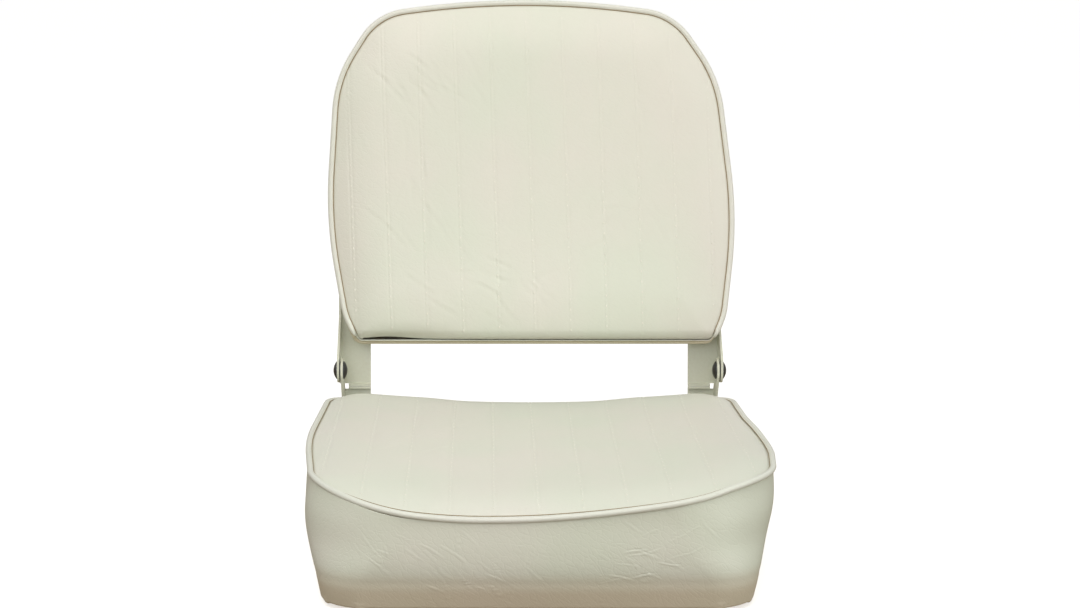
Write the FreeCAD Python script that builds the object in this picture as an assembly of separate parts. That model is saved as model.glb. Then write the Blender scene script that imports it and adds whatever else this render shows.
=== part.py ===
import FreeCAD, Part
import math
import os

# A low-back folding boat seat: two vinyl covered cushions on plywood boards, joined by two pressed
# steel hinges, so that the back folds forward onto the seat.
# X runs across the seat, Y towards the back, Z up. The origin is the middle of the seat board's
# underside, where a pedestal bolts on. Sizes are in millimetres.

# Covers
vinyl = 1.2
piping_diameter = 5.0
piping_proud = 0.8
piping_joint = 0.8
piping_step = 24.0
piping_clearance = 0.1
piping_bed = 1.0

# Seat board and cushion
board_width = 372.0
seat_board_depth = 381.0
seat_board_thickness = 16.0
seat_board_radius = 38.0
board_bow = 0.5
board_fit = 0.4
hem_width = 42.0
crease_height = 26.0
belly_height = 52.0
seat_shoulder_height = 74.0
seat_seam_height = 99.0
seat_seam_dip_front = 20.0
seat_seam_dip_rear = 9.5
seat_dip_half_width = 196.0
seat_side_crown = 5.0
seat_middle_crown = 10.0
seat_crown_reach = 60.0
seat_pleat_spacing = 37.9
seat_pleat_rise = 0.8
pleat_lines_each_side = 5
crown_power = 2.2
seat_dip_power = 1.2
seat_long_arc = 744.0
seam_loop_points = 600
station_shares = (-0.4, 0.0, 0.23, 0.6, 1.1)
slab_margin = 20.0
loft_degree = 3

# How far the seat cover stands out past the board's edge, at the crease, the belly and the seam
crease_front_end = 8.0
crease_rear_end = 11.0
crease_side_middle = 17.0
crease_front = 8.5
crease_rear = 9.5
crease_front_radius = 46.0
crease_rear_radius = 40.0
belly_front_end = 13.5
belly_rear_end = 18.0
belly_side_middle = 26.5
belly_front = 12.5
belly_rear = 12.0
belly_front_radius = 78.0
belly_rear_radius = 44.0
seam_front_end = 11.0
seam_rear_end = 16.5
seam_side_middle = 25.0
seam_front = 10.0
seam_rear = 9.5
seam_front_radius = 86.0
seam_rear_radius = 44.0
seam_bow = 2.5

# Back board and cushion, measured along the back from the hinge pivot
back_lean = 8.0
back_rise = 30.0
back_length = 341.5
back_board_thickness = 10.0
back_seam_forward = 10.0
back_crown = 14.0
back_crown_reach = 58.0
back_lower_roll = 12.0
back_lower_roll_height = 50.0
back_pleat_spacing = 36.3
back_pleat_rise = 0.8
lower_piping_behind = 9.5
lower_piping_rise = 9.0
side_piping_end = 3.5

# The back's outline at its front seam, from the board width and from its own lower edge and top
back_lower_overhang = 5.5
back_widest_overhang = 16.0
back_shoulder_overhang = 6.0
back_top_corner_inset = 37.0
back_widest_height = 136.0
back_shoulder_drop = 76.0
back_top_corner_drop = 11.5
back_top_arch = 8.0
back_lower_radius = 30.0
back_side_arc = 500.0
back_shoulder_radius = 123.0
back_top_corner_radius = 60.0
back_top_arc = 850.0

# How far the belly of the band stands out past that seam, and how far its rear edge is drawn in
back_belly_behind = 22.0
back_belly_lower = 0.0
back_belly_widest = 9.0
back_belly_upper = 0.8
back_belly_ends = 0.5
back_rear_lower = -3.5
back_rear_widest = -5.0
back_rear_upper = -3.5
back_rear_ends = -2.0

# Hinges
pivot_behind_board = 5.5
pivot_height = 125.0
sheet = 2.2
leaf_behind_pivot = 26.0
ear_radius = 12.5
bend_radius = 1.5
hinge_side_clearance = 4.6
leaf_width = 28.8
seat_leg_length = 200.0
back_leaf_height = 190.0
back_flange_height = 92.0
leaf_corner_radius = 7.0
stop_drop = 18.0
stop_gap = 0.3
stop_lip = 5.0
stop_relief_width = 4.0
stop_relief_depth = 2.6
ear_waist = 6.0
ear_fillet = 6.0
seat_flange_depth = 21.0
seat_flange_shoulder = 30.0
back_flange_tip = 4.5
back_flange_tip_radius = 2.8
back_flange_knee = 54.0
back_flange_knee_behind = 21.2
washer_thickness = 1.4
washer_radius = 9.0
running_clearance = 0.05
side_clearance = 0.1
press_clearance = 0.01
rivet_radius = 4.0
rivet_head_radius = 9.0
rivet_head_height = 4.2
rivet_head_rim = 1.0

# Fasteners
screw_radius = 3.0
screw_hole_radius = 3.4
screw_head_radius = 6.2
screw_head_height = 3.4
screw_head_rim = 1.2
screw_recess_length = 6.0
screw_recess_width = 1.3
screw_recess_depth = 1.8
tee_nut_bore_radius = 3.2
tee_nut_barrel_radius = 4.2
tee_nut_flange_radius = 9.5
tee_nut_flange_thickness = 1.4
tee_nut_prongs = 4
tee_nut_prong_turn = 45.0
tee_nut_prong_length = 5.0
tee_nut_prong_width = 3.0
tee_nut_prong_thickness = 1.2
tee_nut_edge = 2.5
pedestal_spacing = 127.0
seat_screw_first = 30.0
seat_screw_spacing = 62.0
back_screw_first = 64.0
back_screw_spacing = 52.0
screws_per_leaf = 3
staple_length = 11.0
staple_width = 1.3
staple_wire = 0.6
staple_leg = 8.0
staple_inset = 31.0
staples_per_side = 10
staple_spacing = 27.0

# Worked out from the sizes above
board_half_width = board_width / 2
seat_half_depth = seat_board_depth / 2
piping_radius = piping_diameter / 2
piping_rebate = piping_radius - piping_proud + piping_clearance
piping_drop = piping_radius + piping_bed
pivot_y = seat_half_depth + pivot_behind_board
back_top = back_rise + back_length
back_panel_rear = leaf_behind_pivot
back_board_rear = back_panel_rear - vinyl
back_board_front = back_board_rear - back_board_thickness
seat_flange_inner = board_half_width + hinge_side_clearance
seat_flange_outer = seat_flange_inner + sheet
back_flange_inner = seat_flange_outer + washer_thickness + side_clearance
back_flange_outer = back_flange_inner + sheet
leaf_rear = leaf_behind_pivot + sheet
leg_top = -vinyl
leg_bottom = leg_top - sheet
lean = math.radians(back_lean)
leaf_inner = seat_flange_outer - leaf_width
ear_round = 0.98 * ear_radius
screw_x = board_half_width - tee_nut_flange_radius - tee_nut_edge


def vector(x, y, z):
    return FreeCAD.Vector(x, y, z)


def in_plan(height):
    """Places a drawing flat at a height."""
    return lambda u, v: vector(u, v, height)


def upright(y):
    """Places a drawing upright, facing front, at a distance along Y."""
    return lambda u, v: vector(u, y, v)


def sideways(x):
    """Places a drawing upright, facing sideways, at a distance along X."""
    return lambda u, v: vector(x, u, v)


def box(x0, x1, y0, y1, z0, z1):
    return Part.makeBox(x1 - x0, y1 - y0, z1 - z0, vector(x0, y0, z0))


def cylinder(radius, start, end):
    direction = end - start
    return Part.makeCylinder(radius, direction.Length, start, direction)


def lean_point(behind, along):
    """A point of the leaning back, given from the pivot, as Y and Z of the whole seat."""
    y = pivot_y + behind * math.cos(lean) + along * math.sin(lean)
    z = pivot_height - behind * math.sin(lean) + along * math.cos(lean)
    return y, z


leg_rear = lean_point(leaf_rear, 0)[0] - (lean_point(leaf_rear, 0)[1] - leg_bottom) * math.tan(lean)
leg_end = leg_rear - seat_leg_length
seat_screw_places = [leg_end + seat_screw_first + i * seat_screw_spacing for i in range(screws_per_leaf)]
back_screw_places = [back_screw_first + i * back_screw_spacing for i in range(screws_per_leaf)]


def leaned(shape):
    """Puts a shape drawn upright about the pivot into its place on the leaning back."""
    placed = shape.copy()
    placed.rotate(vector(0, 0, 0), vector(1, 0, 0), -back_lean)
    placed.translate(vector(0, pivot_y, pivot_height))
    return placed


def mirrored(shape):
    return shape.mirror(vector(0, 0, 0), vector(1, 0, 0))


def rounded_edges(corners, place):
    """The lines and arcs of a closed outline, from corners given as (u, v, radius)."""
    spots = []
    count = len(corners)
    for i in range(count):
        u, v, radius = corners[i]
        here = vector(u, v, 0)
        to_last = (vector(corners[i - 1][0], corners[i - 1][1], 0) - here).normalize()
        following = corners[(i + 1) % count]
        to_next = (vector(following[0], following[1], 0) - here).normalize()
        if radius == 0:
            spots.append((here, None, here))
            continue
        half_angle = to_last.getAngle(to_next) / 2
        reach = radius / math.tan(half_angle)
        inward = (to_last + to_next).normalize()
        middle = here + inward * (radius / math.sin(half_angle) - radius)
        spots.append((here + to_last * reach, middle, here + to_next * reach))
    edges = []
    for i in range(count):
        start, middle, end = spots[i]
        after = spots[(i + 1) % count][0]
        if middle is not None:
            points = [place(p.x, p.y) for p in (start, middle, end)]
            edges.append(Part.Arc(*points).toShape())
        edges.append(Part.LineSegment(place(end.x, end.y), place(after.x, after.y)).toShape())
    return edges


def outline(corners, place):
    return Part.Wire(rounded_edges(corners, place))


def plate(corners, place, thickness):
    """A rounded outline drawn out into a solid along the thickness vector."""
    return Part.Face(outline(corners, place)).extrude(thickness)


def inset(corners, distance):
    """The same outline drawn further in, with its round corners still concentric."""
    count = len(corners)
    area = sum(corners[i - 1][0] * corners[i][1] - corners[i][0] * corners[i - 1][1]
               for i in range(count))
    turn = math.copysign(1.0, area)
    drawn = []
    for i in range(count):
        u, v, radius = corners[i]
        before = vector(u - corners[i - 1][0], v - corners[i - 1][1], 0).normalize()
        following = corners[(i + 1) % count]
        after = vector(following[0] - u, following[1] - v, 0).normalize()
        inward = vector(-before.y - after.y, before.x + after.x, 0) * turn
        shift = inward * (distance / (1 + before.dot(after)))
        drawn.append((u + shift.x, v + shift.y, max(radius - distance, 0)))
    return drawn


def loft(wires):
    return Part.makeLoft(wires, True, False, False, loft_degree)


def inside_distance(loop, u, v):
    """How far a point lies inside a closed loop of points, negative outside."""
    nearest = min(math.hypot(p.x - u, p.y - v) for p in loop)
    within = False
    for i in range(len(loop)):
        a = loop[i - 1]
        b = loop[i]
        if (a.y > v) != (b.y > v) and u < a.x + (b.x - a.x) * (v - a.y) / (b.y - a.y):
            within = not within
    return nearest if within else -nearest


def swell(distance, reach):
    """Rises from 0 at a seam to 1 at a distance of reach, and keeps falling outside the seam."""
    if distance >= reach:
        return 1.0
    if distance <= 0:
        return crown_power * distance / reach
    return 1 - (1 - distance / reach) ** crown_power


def pleated_solid(stations, lines, surface, rise, depth, floor, place):
    """A solid whose upper face is crowned and swells between the pleat lines.

    The upper face lies a depth below the surface. The lower face is flat at the floor or, where the
    floor is None, follows the upper face one thickness of vinyl below it.
    """
    wires = []
    for station in stations:
        heights = [surface(x, station) - depth for x in lines]
        edges = pleat_arcs(station, lines, heights, rise, place)
        if floor is None:
            lower = [height - vinyl for height in heights]
            edges_below = pleat_arcs(station, lines, lower, rise, place)
        else:
            lower = [floor for height in heights]
            edges_below = [Part.LineSegment(place(lines[0], station, floor),
                                            place(lines[-1], station, floor)).toShape()]
        for i in (-1, 0):
            edges.append(Part.LineSegment(place(lines[i], station, heights[i]),
                                          place(lines[i], station, lower[i])).toShape())
        wires.append(Part.Wire(Part.sortEdges(edges + edges_below)[0]))
    return loft(wires)


def pleat_arcs(station, lines, heights, rise, place):
    arcs = []
    for i in range(len(lines) - 1):
        middle = place((lines[i] + lines[i + 1]) / 2, station, (heights[i] + heights[i + 1]) / 2 + rise)
        arcs.append(Part.Arc(place(lines[i], station, heights[i]), middle,
                             place(lines[i + 1], station, heights[i + 1])).toShape())
    return arcs


def arc_towards(start, tangent, end):
    """The arc, or line, that leaves start along tangent and reaches end."""
    chord = end - start
    along = chord / chord.Length
    bend = tangent.getAngle(along)
    if bend < 1e-4:
        return Part.LineSegment(start, end).toShape()
    outward = (tangent - along * tangent.dot(along)).normalize()
    middle = (start + end) / 2 + outward * (chord.Length / 2 * math.tan(bend / 2))
    return Part.Arc(start, middle, end).toShape()


def biarc_edges(points, tangents):
    """Two arcs from each point to the next, so that the whole run is smooth."""
    edges = []
    for i in range(len(points) - 1):
        p, q = points[i], points[i + 1]
        s, t = tangents[i], tangents[i + 1]
        step = q - p
        both = step.dot(s + t)
        straight = 2 * (1 - s.dot(t))
        if straight < 1e-9:
            reach = step.dot(step) / (4 * step.dot(t))
        else:
            reach = (math.sqrt(both * both + straight * step.dot(step)) - both) / straight
        joint = (p + q + (s - t) * reach) / 2
        edges.append(arc_towards(p, s, joint))
        edges.append(arc_towards(q, t * -1, joint))
    return edges


def welt(route):
    """A round welt along a smooth open route of closely spaced points."""
    length = sum((route[i] - route[i - 1]).Length for i in range(1, len(route)))
    spans = max(4, round(length / piping_step))
    picks = [round(i * (len(route) - 1) / spans) for i in range(spans + 1)]
    points = [route[i] for i in picks]
    tangents = []
    for i in picks:
        ahead = route[min(i + 1, len(route) - 1)]
        behind = route[max(i - 1, 0)]
        tangents.append((ahead - behind).normalize())
    path = Part.Wire(biarc_edges(points, tangents))
    section = Part.Wire(Part.Circle(points[0], tangents[0], piping_radius).toShape())
    tube = path.makePipeShell([section], True, False)
    print("welt", round(path.Length), "mm long, volume", round(tube.Volume),
          "against", round(path.Length * math.pi * piping_radius ** 2))
    return tube


def save(name, *shapes):
    solids = [solid for shape in shapes for solid in shape.Solids]
    piece = solids[0] if len(solids) == 1 else Part.makeCompound(solids)
    piece.exportStep("parts/" + name + ".step")
    print(name, len(solids), "solids", round(sum(s.Volume for s in solids)), "mm3",
          "valid" if all(s.isValid() for s in solids) else "NOT VALID")


# The seat cushion's outlines, as corners of a plan drawing

def seat_outline(front_end, side_middle, rear_end, front, rear, bow, front_radius, rear_radius):
    """The cushion's plan at one height, from how far it stands out past the board's edges."""
    front_half = board_half_width + front_end
    rear_half = board_half_width + rear_end
    middle = board_half_width + side_middle
    near = -seat_half_depth - front
    far = seat_half_depth + rear
    return [(-front_half, near, front_radius), (0, near - bow, seat_long_arc),
            (front_half, near, front_radius), (middle, 0, seat_long_arc),
            (rear_half, far, rear_radius), (0, far + bow, seat_long_arc),
            (-rear_half, far, rear_radius), (-middle, 0, seat_long_arc)]


hem_rim = vinyl + board_fit
seat_board_plan = seat_outline(0, board_bow, 0, 0, 0, board_bow, seat_board_radius, seat_board_radius)
hem_plan = inset(seat_board_plan, -hem_rim)
crease_plan = seat_outline(crease_front_end, crease_side_middle, crease_rear_end, crease_front,
                           crease_rear, seam_bow, crease_front_radius, crease_rear_radius)
belly_plan = seat_outline(belly_front_end, belly_side_middle, belly_rear_end, belly_front,
                          belly_rear, seam_bow, belly_front_radius, belly_rear_radius)
seat_seam_plan = seat_outline(seam_front_end, seam_side_middle, seam_rear_end, seam_front,
                              seam_rear, seam_bow, seam_front_radius, seam_rear_radius)
seat_levels = [(0.0, hem_plan), (crease_height, crease_plan), (belly_height, belly_plan),
               (seat_shoulder_height, seat_seam_plan), (seat_seam_height, seat_seam_plan),
               (seat_seam_height + slab_margin, seat_seam_plan)]
seat_seam_loop = outline(seat_seam_plan, in_plan(0)).discretize(seam_loop_points)


def seat_seam_z(x, y):
    """Height of the seat's piped seam: level at the sides, dipping at the front and the rear."""
    along = 0.5 - y / seat_board_depth
    dip = seat_seam_dip_rear + (seat_seam_dip_front - seat_seam_dip_rear) * along
    across = min(abs(x) / seat_dip_half_width, 1.0)
    return seat_seam_height - dip * (1 - across ** 2) ** seat_dip_power


def seat_top_z(x, y):
    across = min(abs(x) / seat_dip_half_width, 1.0)
    crown = seat_side_crown + (seat_middle_crown - seat_side_crown) * (1 - across ** 2)
    return seat_seam_z(x, y) + crown * swell(inside_distance(seat_seam_loop, x, y), seat_crown_reach)


def crown_stations(start, end, reach):
    """Where a slab is drawn along its length: close together where its ends roll over."""
    near = [start + share * reach for share in station_shares]
    far = [end - share * reach for share in reversed(station_shares)]
    return near + [(start + end) / 2] + far


def pleat_lines(spacing, reach):
    lines = [i * spacing for i in range(-pleat_lines_each_side, pleat_lines_each_side + 1)]
    return [-reach] + lines + [reach]


# The back cushion's outlines, upright about the pivot

def back_outline(lower, widest, upper, ends):
    """The back's shape seen from in front, from how far it stands out past the front seam."""
    half = board_half_width
    right = [(half + back_lower_overhang + lower, back_rise - ends, back_lower_radius),
             (half + back_widest_overhang + widest, back_rise + back_widest_height, back_side_arc),
             (half + back_shoulder_overhang + upper, back_top - back_shoulder_drop, back_shoulder_radius),
             (half - back_top_corner_inset + upper, back_top - back_top_corner_drop + ends,
              back_top_corner_radius)]
    left = [(-u, v, radius) for u, v, radius in reversed(right)]
    return right + [(0, back_top + back_top_arch + ends, back_top_arc)] + left


back_seam_plan = back_outline(0, 0, 0, 0)
back_belly_plan = back_outline(back_belly_lower, back_belly_widest, back_belly_upper, back_belly_ends)
back_rear_plan = back_outline(back_rear_lower, back_rear_widest, back_rear_upper, back_rear_ends)
back_levels = [(back_board_rear, back_rear_plan), (back_belly_behind - back_seam_forward, back_belly_plan),
               (back_lower_roll - back_seam_forward, back_seam_plan), (-back_seam_forward, back_seam_plan),
               (-back_seam_forward - back_crown - slab_margin, back_seam_plan)]
back_board_plan = inset(back_rear_plan, vinyl + board_fit)
back_seam_loop = outline(back_seam_plan, in_plan(0)).discretize(seam_loop_points)


def back_seam_d(along):
    """How far the back's piped seam stands in front of the pivot; it rolls back at the lower edge."""
    share = min(max((along - back_rise) / back_lower_roll_height, 0.0), 1.0)
    return back_seam_forward - back_lower_roll * (1 - share) ** 2


def back_front_d(x, along):
    crown = back_crown * swell(inside_distance(back_seam_loop, x, along), back_crown_reach)
    return back_seam_d(along) + crown


# Fasteners, drawn along Z with the head or flange at the top

def dome(radius, height, rim):
    """A domed head standing on Z = 0."""
    cap = height - rim
    ball_radius = (radius ** 2 + cap ** 2) / (2 * cap)
    ball = Part.makeSphere(ball_radius, vector(0, 0, height - ball_radius), vector(1, 0, 0))
    return cylinder(radius, vector(0, 0, 0), vector(0, 0, height)).common(ball)


def screw(length):
    """A domed screw: the head stands on Z = 0 and the shank hangs below it."""
    half_length = screw_recess_length / 2
    half_width = screw_recess_width / 2
    floor = screw_head_height - screw_recess_depth
    slot_a = box(-half_length, half_length, -half_width, half_width, floor, screw_head_height)
    slot_b = box(-half_width, half_width, -half_length, half_length, floor, screw_head_height)
    head = dome(screw_head_radius, screw_head_height, screw_head_rim)
    shank = cylinder(screw_radius, vector(0, 0, -length), vector(0, 0, 0))
    return head.fuse(shank).cut([slot_a, slot_b]).removeSplitter()


def tee_nut(length, bored):
    """A tee nut: the flange stands on Z = 0, the barrel and the prongs go down into the board."""
    flange = cylinder(tee_nut_flange_radius, vector(0, 0, 0), vector(0, 0, tee_nut_flange_thickness))
    barrel = cylinder(tee_nut_barrel_radius, vector(0, 0, -length), vector(0, 0, 0))
    half_width = tee_nut_prong_width / 2
    outer = tee_nut_flange_radius - tee_nut_prong_thickness / 2
    prong = box(outer - tee_nut_prong_thickness, outer, -half_width, half_width,
                -tee_nut_prong_length, 0)
    prongs = []
    for i in range(tee_nut_prongs):
        turned = prong.copy()
        turned.rotate(vector(0, 0, 0), vector(0, 0, 1), tee_nut_prong_turn + i * 360 / tee_nut_prongs)
        prongs.append(turned)
    bore = cylinder(tee_nut_bore_radius, vector(0, 0, -length), vector(0, 0, tee_nut_flange_thickness))
    nut = flange.fuse([barrel] + prongs).removeSplitter()
    return nut.cut(bore) if bored else nut


def put(shape, x, y, z, turn=0):
    """Turns a fastener about X, then moves it to its place."""
    placed = shape.copy()
    placed.rotate(vector(0, 0, 0), vector(1, 0, 0), turn)
    placed.translate(vector(x, y, z))
    return placed


# Hinges, drawn on the +X side

def rounded_ends(leaf, radius, direction, test):
    """Rounds the straight edges that run along a direction and whose middle passes the test."""
    edges = []
    for edge in leaf.Edges:
        run = edge.Vertexes[-1].Point - edge.Vertexes[0].Point
        if edge.Curve.TypeId == "Part::GeomLine" and run.cross(direction).Length < 1e-6:
            if test(edge.CenterOfMass):
                edges.append(edge)
    return leaf.makeFillet(radius, edges)


def seat_bracket():
    """Lower leaf: a leg under the board, a leaning riser, an ear beside it and a stop lip on top."""
    lip_top = -stop_drop - stop_gap
    lip_ahead = leaf_behind_pivot - stop_lip
    front_top = lean_point(leaf_behind_pivot, lip_top)
    rear_top = lean_point(leaf_rear, lip_top)
    front_foot = front_top[0] - (front_top[1] - leg_top) * math.tan(lean)
    outer_bend = bend_radius + sheet
    strip = [lean_point(lip_ahead, lip_top) + (0,), lean_point(lip_ahead, lip_top - sheet) + (0,),
             lean_point(leaf_behind_pivot, lip_top - sheet) + (bend_radius,),
             (front_foot, leg_top, bend_radius), (leg_end, leg_top, 0), (leg_end, leg_bottom, 0),
             (leg_rear, leg_bottom, outer_bend), rear_top + (outer_bend,)]
    leaf = plate(strip, sideways(leaf_inner), vector(leaf_width, 0, 0))
    leaf = rounded_ends(leaf, leaf_corner_radius, vector(0, 0, 1), lambda p: p.y < leg_end + sheet)
    relief = leaned(box(seat_flange_inner - stop_relief_width, seat_flange_outer, lip_ahead - sheet,
                        leaf_rear + sheet, lip_top - stop_relief_depth, lip_top + sheet))
    flange = [lean_point(-ear_radius, ear_radius) + (ear_round,),
              lean_point(ear_radius, ear_radius) + (ear_round,),
              lean_point(ear_radius, -ear_waist) + (ear_fillet,),
              lean_point(leaf_rear, -stop_drop - stop_relief_depth) + (0,),
              (leg_rear, leg_bottom, outer_bend), (leg_rear - seat_flange_depth, leg_bottom, 0),
              lean_point(leaf_rear - seat_flange_depth, -seat_flange_shoulder) + (ear_fillet,),
              lean_point(-ear_radius, -ear_waist) + (ear_fillet,)]
    ear = plate(flange, sideways(seat_flange_inner), vector(sheet, 0, 0))
    bracket = leaf.cut(relief).fuse(ear).removeSplitter()
    hole_start = vector(seat_flange_inner - sheet, pivot_y, pivot_height)
    hole_end = vector(seat_flange_outer + sheet, pivot_y, pivot_height)
    holes = [cylinder(rivet_radius + press_clearance, hole_start, hole_end)]
    for y in seat_screw_places:
        holes.append(cylinder(screw_hole_radius, vector(screw_x, y, leg_bottom - sheet),
                              vector(screw_x, y, leg_top + sheet)))
    return bracket.cut(holes)


def back_bracket():
    """Upper leaf, drawn upright about the pivot: a long leg, an ear beside it and a stop lip below."""
    lip_ahead = leaf_behind_pivot - stop_lip
    outer_bend = bend_radius + sheet
    strip = [(lip_ahead, -stop_drop, 0), (leaf_rear, -stop_drop, outer_bend),
             (leaf_rear, back_leaf_height, 0), (leaf_behind_pivot, back_leaf_height, 0),
             (leaf_behind_pivot, sheet - stop_drop, bend_radius), (lip_ahead, sheet - stop_drop, 0)]
    width = back_flange_outer - leaf_inner
    leaf = plate(strip, sideways(leaf_inner), vector(width, 0, 0))
    leaf = rounded_ends(leaf, leaf_corner_radius, vector(0, 1, 0),
                        lambda p: p.z > back_leaf_height - sheet)
    relief = box(seat_flange_inner - stop_relief_width, back_flange_outer, lip_ahead - sheet,
                 leaf_rear + sheet, -stop_drop - sheet, stop_relief_depth - stop_drop)
    flange = [(-ear_radius, -ear_radius, ear_round), (leaf_rear, -ear_radius, outer_bend),
              (leaf_rear, back_flange_height, 0),
              (leaf_rear - back_flange_tip, back_flange_height, back_flange_tip_radius),
              (back_flange_knee_behind, back_flange_knee, ear_radius), (-ear_radius, ear_radius, ear_fillet)]
    ear = plate(flange, sideways(back_flange_inner), vector(sheet, 0, 0))
    bracket = leaf.cut(relief).fuse(ear).removeSplitter()
    holes = [cylinder(rivet_radius + running_clearance, vector(back_flange_inner - sheet, 0, 0),
                      vector(back_flange_outer + sheet, 0, 0))]
    for z in back_screw_places:
        holes.append(cylinder(screw_hole_radius, vector(screw_x, leaf_behind_pivot - sheet, z),
                              vector(screw_x, leaf_rear + sheet, z)))
    return leaned(bracket.cut(holes))


def pivot_rivet():
    """A shank across both ears with a domed head at each end."""
    outer_face = back_flange_outer + side_clearance
    head = dome(rivet_head_radius, rivet_head_height, rivet_head_rim)
    outer = head.copy()
    outer.rotate(vector(0, 0, 0), vector(0, 1, 0), 90)
    outer.translate(vector(outer_face, 0, 0))
    inner = head.copy()
    inner.rotate(vector(0, 0, 0), vector(0, 1, 0), -90)
    inner.translate(vector(seat_flange_inner, 0, 0))
    shank = cylinder(rivet_radius, vector(seat_flange_inner, 0, 0), vector(outer_face, 0, 0))
    rivet = shank.fuse([outer, inner]).removeSplitter()
    rivet.translate(vector(0, pivot_y, pivot_height))
    return rivet


def pivot_washer():
    near = vector(seat_flange_outer, pivot_y, pivot_height)
    far = vector(seat_flange_outer + washer_thickness, pivot_y, pivot_height)
    return cylinder(washer_radius, near, far).cut(cylinder(rivet_radius + running_clearance, near, far))


# Seat cushion

def staples():
    """Wire staples round the underside, with the spaces that their legs take."""
    crown_top = -vinyl
    half = staple_length / 2
    side = staple_width / 2
    crown = box(-half, half, -side, side, crown_top - staple_wire, crown_top)
    legs = [box(-half, staple_wire - half, -side, side, crown_top, crown_top + staple_leg),
            box(half - staple_wire, half, -side, side, crown_top, crown_top + staple_leg)]
    wire = crown.fuse(legs).removeSplitter()
    placed = []
    for i in range(staples_per_side):
        along = (i - (staples_per_side - 1) / 2) * staple_spacing
        across = seat_half_depth - staple_inset
        for y in (-across, across):
            placed.append(put(wire, along, y, 0))
        turned = wire.copy()
        turned.rotate(vector(0, 0, 0), vector(0, 0, 1), 90)
        for x in (staple_inset - board_half_width, board_half_width - staple_inset):
            placed.append(put(turned, x, along, 0))
    return placed


def seat_piping_route():
    """Round the seat's seam from the middle of the rear, open where the ends meet."""
    seam = outline(inset(seat_seam_plan, -piping_proud), in_plan(0))
    points = seam.discretize(round(2 * seam.Length / piping_joint))[:-1]
    first = max(range(len(points)), key=lambda i: points[i].y - abs(points[i].x))
    points = points[first + 1:] + points[:first]
    return [vector(p.x, p.y, seat_seam_z(p.x, p.y)) for p in points]


def build_seat():
    tee = tee_nut(seat_board_thickness, True)
    tee_space = tee_nut(seat_board_thickness, False)
    half = pedestal_spacing / 2
    pedestal_places = [(x, y) for x in (-half, half) for y in (-half, half)]
    hinge_places = [(x, y) for x in (-screw_x, screw_x) for y in seat_screw_places]
    top = seat_board_thickness
    pedestal_nuts = [put(tee, x, y, top) for x, y in pedestal_places]
    hinge_nuts = [put(tee, x, y, top) for x, y in hinge_places]
    nut_spaces = [put(tee_space, x, y, top) for x, y in pedestal_places + hinge_places]
    hem_holes = [cylinder(screw_hole_radius, vector(x, y, -2 * vinyl), vector(x, y, vinyl))
                 for x, y in hinge_places]
    wires = staples()

    whole_board = plate(seat_board_plan, in_plan(0), vector(0, 0, seat_board_thickness))
    board = whole_board.cut(nut_spaces + wires)

    edge = seat_half_depth + seam_front
    stations = crown_stations(-edge, edge, seat_crown_reach)
    lines = pleat_lines(seat_pleat_spacing, board_half_width + belly_side_middle + slab_margin)

    def pleated(depth, floor):
        return pleated_solid(stations, lines, seat_top_z, seat_pleat_rise, depth, floor, vector)

    def body(distance):
        return loft([outline(inset(plan, distance), in_plan(z)) for z, plan in seat_levels])

    core = body(piping_rebate)
    panel = core.common(pleated(0, None))
    band = body(0).common(pleated(piping_drop, -slab_margin)).cut(body(vinyl))
    hem = plate(hem_plan, in_plan(-vinyl), vector(0, 0, vinyl))
    hem = hem.cut(plate(inset(seat_board_plan, hem_width), in_plan(-vinyl), vector(0, 0, vinyl)))
    boxing = band.fuse(hem).cut(hem_holes + wires)
    flange_top = top + tee_nut_flange_thickness
    flanges = [cylinder(tee_nut_flange_radius, vector(x, y, top), vector(x, y, flange_top))
               for x, y in pedestal_places + hinge_places]
    foam = core.common(pleated(vinyl, top)).cut(flanges)
    tube = welt(seat_piping_route())

    save("seat_board", board)
    save("seat_foam", foam)
    save("seat_top_panel", panel)
    save("seat_boxing", boxing)
    save("seat_piping", tube)
    save("seat_staples", *wires)
    save("pedestal_tee_nuts", *pedestal_nuts)
    save("seat_hinge_tee_nuts", *hinge_nuts)
    shank = screw(sheet + vinyl + seat_board_thickness)
    save("seat_bracket_screws", *[put(shank, x, y, leg_bottom, 180) for x, y in hinge_places])


# Back cushion, drawn upright about the pivot

def back_piping_route():
    """Up one side, over the top and down the other, between the ends of the lower corners."""
    seam = outline(inset(back_seam_plan, -piping_proud), in_plan(0))
    points = seam.discretize(round(2 * seam.Length / piping_joint))[:-1]
    low = back_rise + side_piping_end
    first = min(range(len(points)), key=lambda i: math.hypot(points[i].x, points[i].y - back_rise))
    points = points[first:] + points[:first]
    kept = [p for p in points if p.y > low]
    return [vector(p.x, -back_seam_d(p.y), p.y) for p in kept]


def lower_piping_route():
    """Along the lower edge and a little way up both corners, under the cover."""
    seam = outline(inset(back_belly_plan, -piping_radius - piping_clearance), in_plan(0))
    points = seam.discretize(round(2 * seam.Length / piping_joint))[:-1]
    first = max(range(len(points)), key=lambda i: points[i].y - abs(points[i].x))
    points = points[first:] + points[:first]
    return [vector(p.x, lower_piping_behind, p.y) for p in points if p.y < back_rise + lower_piping_rise]


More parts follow.
